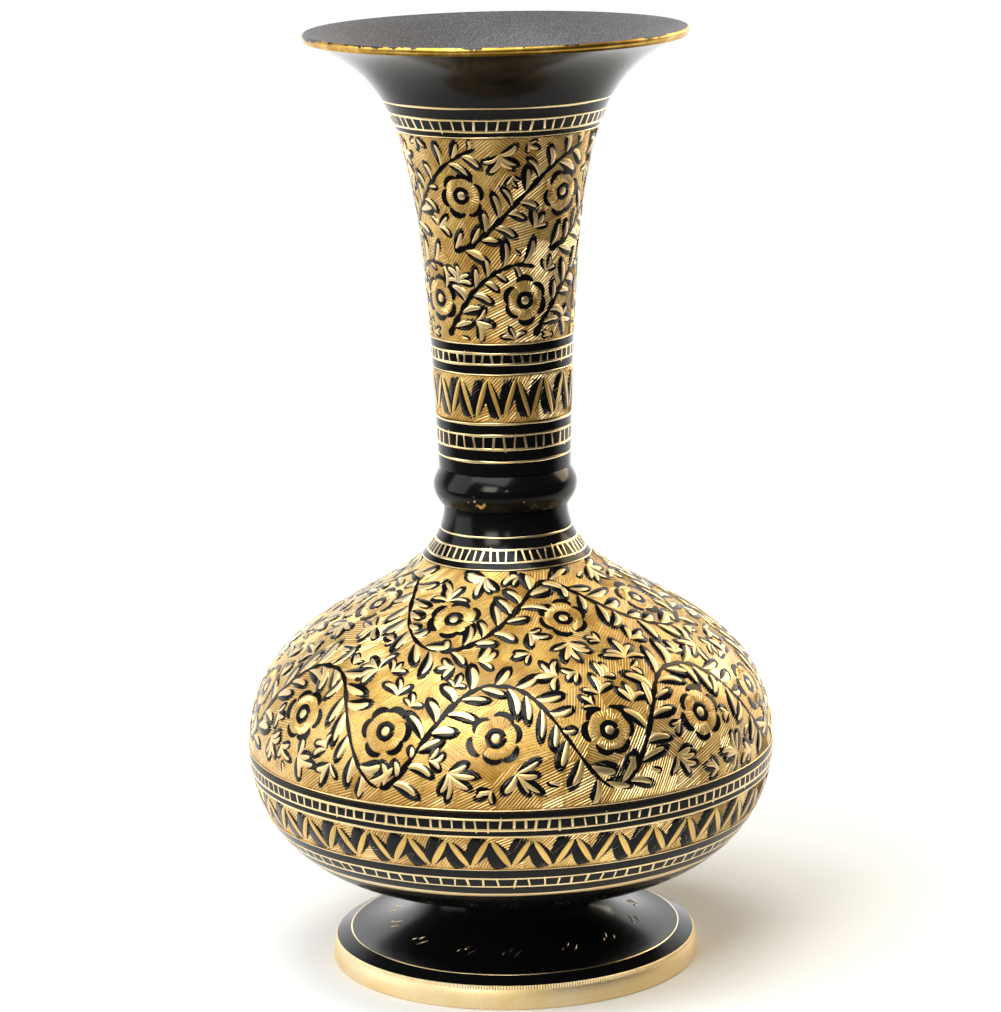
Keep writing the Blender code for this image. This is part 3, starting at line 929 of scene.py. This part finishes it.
def brass_bands(name, skin, rings, ladders):
    """Brass lines and ladders in the lacquer of one skin, with heights and half widths in mm."""
    lines, ticks = Relief(skin, -LACQUER_DEPTH), Relief(skin, -LACQUER_DEPTH)
    for half_width, heights in rings:
        lines.add_rings([skin.at_height(z * MM) for z in heights], half_width * MM)
    for low_z, high_z, count in ladders:
        ladder(lines, ticks, *skin.span(low_z, high_z), count)
    lines.build(name + "_lines", line_brass, "engraved_brass")
    ticks.build(name + "_ladder_bars", line_brass, "engraved_brass")


def zigzag(skin, name, low_s, high_s, periods):
    """Broad black legs that lean to and fro, each with a bright bar inside it.

    The black is widest at the top of the legs that lean right and at the foot of the others.
    """
    bars, legs = Relief(skin, -FIELD_DEPTH), Relief(skin, -FIELD_DEPTH)
    step = TURN / periods
    t = np.linspace(0, 1, 9)
    for lean in (1, -1):
        first = np.arange(periods) * step + (0 if lean > 0 else 0.48 * step)
        first = first + random.normal(0, 0.02, periods) * step
        last = first + 0.44 * step
        low = low_s + (0.9 + random.normal(0, 0.15, periods)) * MM
        high = high_s - (0.8 + random.normal(0, 0.15, periods)) * MM
        start, end = (low, high) if lean > 0 else (high, low)
        path_theta = first[:, None] + (last - first)[:, None] * t
        path_s = start[:, None] + (end - start)[:, None] * t
        wide = 0.142 * step * float(skin.radius(low_s)) * random.uniform(0.9, 1.1, periods)
        aside = beside_path(skin, path_theta, path_s, 0.62 * lean * wide[:, None])
        grow = 0.75 + 0.75 * t
        legs.add(*aside, 1.75 * wide[:, None] * grow * bulge(0.06 + 0.88 * t, 0.3)
                 * (np.minimum(t, 1 - t) > 0), OUTLINE_RISE, 8, 1.5)
        bar_s = path_s + (0.03 * (t - 0.5) * lean) * (high - low)[:, None]
        bars.add(path_theta, bar_s, 0.66 * wide[:, None] * bulge(t, 0.3),
                 0.9 * LEAF_RISE * bulge(t, 0.3), 8, 1.25)
    bars.build(name + "_bars", bar_brass, "engraved_brass")
    legs.build(name + "_legs", black_lacquer, "black_lacquer")


def make_bands():
    """Lines, ladders and zigzags on the neck, the spout and the bowl."""
    brass_bands("neck", neck, [(0.30, (236.2, 151.4, 141.1)), (0.16, (228.3, 173.0, 164.8))],
                [(229.9, 233.0, 58), (167.5, 170.4, 46), (144.5, 148.3, 40)])
    zigzag(neck, "neck_zigzag", *NECK_ZIGZAG, 15)
    brass_bands("spout", shoulder, [(0.24, (120.6,)), (0.16, (113.1, 61.3))], [(114.7, 117.7, 58)])
    brass_bands("bowl", bowl, [(0.28, (54.1, 41.2)), (0.16, (44.1,)), (0.9, (35.3,))],
                [(56.0, 58.9, 144), (38.5, 41.2, 106)])
    zigzag(bowl, "bowl_zigzag", *BOWL_ZIGZAG, 40)


def make_foot_cuts():
    """One thin line on the flange's edge and threes of short cuts around the cove."""
    lines = Relief(foot, -LACQUER_DEPTH)
    lines.add_rings([foot.at_height(8.28 * MM)], 0.22 * MM)
    lines.build("foot_line", line_brass, "engraved_brass")
    cuts = Relief(foot, -LACQUER_DEPTH)
    groups = 14
    t = np.array([-0.5, -0.2, 0.25, 0.5])
    root = foot.at_height(10.4 * MM)
    for k in range(groups):
        theta = (k + random.uniform(-0.12, 0.12)) * TURN / groups
        for shift, lift, length in ((-1.9, 0.1, 1.6), (0.0, 1.2, 2.4), (1.7, -0.4, 3.0)):
            reach = length * MM * random.uniform(0.8, 1.2)
            s = root + lift * MM + 0.80 * reach * t
            across = shift * MM + 0.60 * reach * t
            cuts.add((theta + across / foot.radius(s))[None], s[None],
                     0.25 * MM * np.array([0, 1, 0.8, 0])[None], 2.4 * LINE_RISE, 6)
    cuts.build("foot_cuts", line_brass, "engraved_brass")


# ======== floral fields

def make_lower_scroll(garden):
    """Seven waves of leafy stem around the belly, with a flower in every bend."""
    step = TURN / 7
    low = garden.low
    first_crest = math.radians(-3.3)
    for k in range(7):
        centre = first_crest + k * step
        garden.flower(centre, low + 18.6 * MM, 7.2 * MM, 0.3 + k)
        garden.flower(centre - 0.5 * step, low + 18.9 * MM, 7.0 * MM, 0.1 + 2 * k)
    for k in range(7):
        centre = first_crest + k * step
        share = np.linspace(-0.5, 0.5, 80)
        s = low + 18.8 * MM + 14.8 * MM * np.cos(math.pi * np.abs(2 * share) ** 1.35)
        garden.leafy_stem(centre + share * step, s, 5.9 * MM, 9.8 * MM)
        for across, up, heading, length, count, spread in (
                (-0.50, 29.0, 1.55, 7.5, 3, 0.85), (-0.68, 36.0, 2.9, 8.0, 5, 1.15),
                (-0.20, 9.5, -0.7, 8.5, 5, 1.1)):
            garden.fan(centre + across * step, low + up * MM, heading, length * MM, count, spread)


def make_upper_scroll(garden):
    """Four waves around the shoulder, above the lower ones."""
    step = TURN / 4
    low = garden.low
    first_crest = math.radians(22.5)
    for k in range(4):
        centre = first_crest + k * step
        garden.flower(centre, low + 56.6 * MM, 6.9 * MM, 0.2 + k)
        garden.flower(centre - 0.5 * step, low + 57.0 * MM, 6.9 * MM, 0.5 + k)
    for k in range(4):
        centre = first_crest + k * step
        share = np.linspace(-0.5, 0.5, 80)
        s = low + 57.6 * MM + 12.8 * MM * np.cos(TURN * share)
        garden.leafy_stem(centre + share * step, s, 5.7 * MM, 9.0 * MM)
        garden.fan(centre - 0.03 * step, low + 47.5 * MM, -1.5, 8.0 * MM, 5, 1.2)


def make_neck_scroll(garden):
    """Five leaning units around the neck: two long stems, an upper and a lower flower."""
    step = TURN / 5
    low = garden.low
    radius = 21.0 * MM
    long_stem = [(-13.0, 24.5), (-7.5, 26.2), (-3.4, 29.6), (1.6, 34.6), (7.4, 41.2), (12.4, 46.6),
                 (17.4, 50.4), (21.6, 52.6)]
    low_stem = [(-17.0, 1.2), (-12.4, 7.6), (-7.6, 13.8), (-1.8, 18.6), (4.0, 20.9), (9.6, 20.2)]
    for k in range(5):
        for x, y, turn in ((-9.3, 39.6, 0.2), (6.7, 11.3, 0.6)):
            garden.flower(k * step + x * MM / radius, low + y * MM, 6.2 * MM, turn + k)
    for k in range(5):
        for line in (long_stem, low_stem):
            path = smooth_line(line, 60) * MM
            garden.leafy_stem(k * step + path[:, 0] / radius, low + path[:, 1], 5.0 * MM,
                              7.8 * MM, half_width=1.5 * MM)
        for x, y, heading, length, count, spread in (
                (-7.6, 6.0, -0.2, 7.5, 3, 0.9), (9.0, 30.5, 0.9, 6.5, 3, 0.9)):
            garden.fan(k * step + x * MM / radius, low + y * MM, heading, length * MM, count,
                       spread, 1.35 * MM)


def make_ornament():
    """Both floral fields, and the hatched grounds of all four fields."""
    belly = Garden(shoulder, *BELLY_FIELD)
    make_lower_scroll(belly)
    make_upper_scroll(belly)
    belly.fill(3.4 * MM, 8.5 * MM, 1.6 * MM)
    belly.build("belly")
    throat = Garden(neck, *NECK_FIELD)
    make_neck_scroll(throat)
    throat.fill(2.9 * MM, 6.8 * MM, 1.35 * MM)
    throat.build("neck")
    hatch(shoulder, "belly_hatching", *BELLY_FIELD, 0.72)
    hatch(neck, "neck_hatching", *NECK_FIELD, 0.80)
    hatch(neck, "neck_zigzag_hatching", *NECK_ZIGZAG, 0.75, 6.5 * MM)
    hatch(bowl, "bowl_zigzag_hatching", *BOWL_ZIGZAG, 0.75, 6.5 * MM)


# ======== studio

CAMERA_DISTANCE = 1.0285
CAMERA_HEIGHT = 0.3503
CAMERA_PITCH = math.radians(12.33)
CAMERA_YAW = math.radians(-0.08)
CAMERA_ROLL = math.radians(-1.27)
LENS = 138.8
SENSOR = 36.0
ROOM_DARK, ROOM_WHITE = 0.02, 1.75
FLOOR_HALF = 1.6
FLOOR_MIDDLE_Y = 0.12
LIGHT_AIM = Vector((0, 0, 0.13))

# name, place, (width, height), watts, colour
LIGHTS = (
    ("left_softbox", (-1.1, -0.10, 0.50), (0.8, 1.1), 7, (0.95, 0.98, 1.0)),
    ("right_softbox", (0.85, 0.60, 0.70), (0.7, 0.7), 9, (1.0, 0.83, 0.56)),
    ("top_softbox", (-0.22, -0.32, 1.15), (1.1, 1.0), 19.5, (0.95, 0.98, 1.0)),
    ("key", (-0.50, -1.0, 0.70), (0.45, 0.45), 8, (1.0, 0.94, 0.82)),
    ("small_lamp", (0.03, -1.0, 0.52), (0.03, 0.03), 0.4, (1.0, 1.0, 1.0)))


def add_camera():
    """A long lens in front, a little above, looking down and tilted slightly."""
    camera = bpy.data.cameras.new("camera")
    camera.lens = LENS
    camera.sensor_width = camera.sensor_height = SENSOR
    camera.sensor_height = 36.0
    view = bpy.data.objects.new("camera", camera)
    view.rotation_mode = "XYZ"
    ahead = np.array([math.sin(CAMERA_YAW) * math.cos(CAMERA_PITCH),
                      math.cos(CAMERA_YAW) * math.cos(CAMERA_PITCH), -math.sin(CAMERA_PITCH)])
    level = np.cross(ahead, (0, 0, 1))
    level /= np.linalg.norm(level)
    over = np.cross(level, ahead)
    right = math.cos(CAMERA_ROLL) * level + math.sin(CAMERA_ROLL) * over
    up = np.cross(right, ahead)
    axes = Matrix([right, up, -ahead]).transposed().to_4x4()
    axes.translation = (0.0, -CAMERA_DISTANCE, CAMERA_HEIGHT)
    view.matrix_world = axes
    bpy.context.scene.collection.objects.link(view)
    bpy.context.scene.camera = view


def add_light(name, place, size, power, color):
    """A rectangular soft light that faces the vase."""
    lamp = bpy.data.lights.new(name, "AREA")
    lamp.shape = "RECTANGLE"
    lamp.size, lamp.size_y = size
    lamp.energy = power
    lamp.color = color
    light = bpy.data.objects.new(name, lamp)
    light.location = place
    light.rotation_euler = (LIGHT_AIM - Vector(place)).to_track_quat("-Z", "Y").to_euler()
    bpy.context.scene.collection.objects.link(light)


def add_world():
    """White room behind and below the object, dark above and behind the camera."""
    world = bpy.data.worlds.new("studio")
    bpy.context.scene.world = world
    graph = Graph(world, "Background", "Generated")
    lean = graph.y - 0.7 * graph.z
    room = ROOM_DARK + (ROOM_WHITE - ROOM_DARK) * lean.between(0.2, 0.65)
    seen = Value(graph, graph.node("ShaderNodeLightPath").outputs["Is Camera Ray"])
    graph.finish(Color=(1, 1, 1, 1), Strength=room * (1 - seen) + seen)


def add_floor():
    """A plain pale floor that fades into the white room some way off."""
    mesh = bpy.data.meshes.new("floor")
    corners = [(x * FLOOR_HALF, y * FLOOR_HALF, 0) for x, y in ((-1, -1), (1, -1), (1, 1), (-1, 1))]
    mesh.from_pydata(corners, [], [(0, 1, 2, 3)])
    graph = Graph(bpy.data.materials.new("floor"))
    grain = graph.noise(30, 2.0)
    behind = graph.y - FLOOR_MIDDLE_Y
    away = (graph.x * graph.x + behind * behind) ** 0.5
    mesh.materials.append(graph.finish(
        Base_Color=graph.mix(grain, (0.76, 0.76, 0.76, 1), (0.80, 0.80, 0.80, 1)),
        Roughness=0.8, Alpha=1 - away.between(0.20, 0.45)))
    floor = bpy.data.objects.new("floor", mesh)
    bpy.context.scene.collection.objects.link(floor)


make_neck()
make_collar()
make_shoulder()
make_bowl()
make_foot()
make_bands()
make_foot_cuts()
make_ornament()
for node in ("foot_stud", "foot_washer", "foot_nut"):
    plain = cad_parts[node]
    plain.data.materials.clear()
    plain.data.materials.append(inner_brass)

add_camera()
add_world()
add_floor()
for light in LIGHTS:
    add_light(*light)
bpy.context.scene.view_settings.view_transform = "Standard"
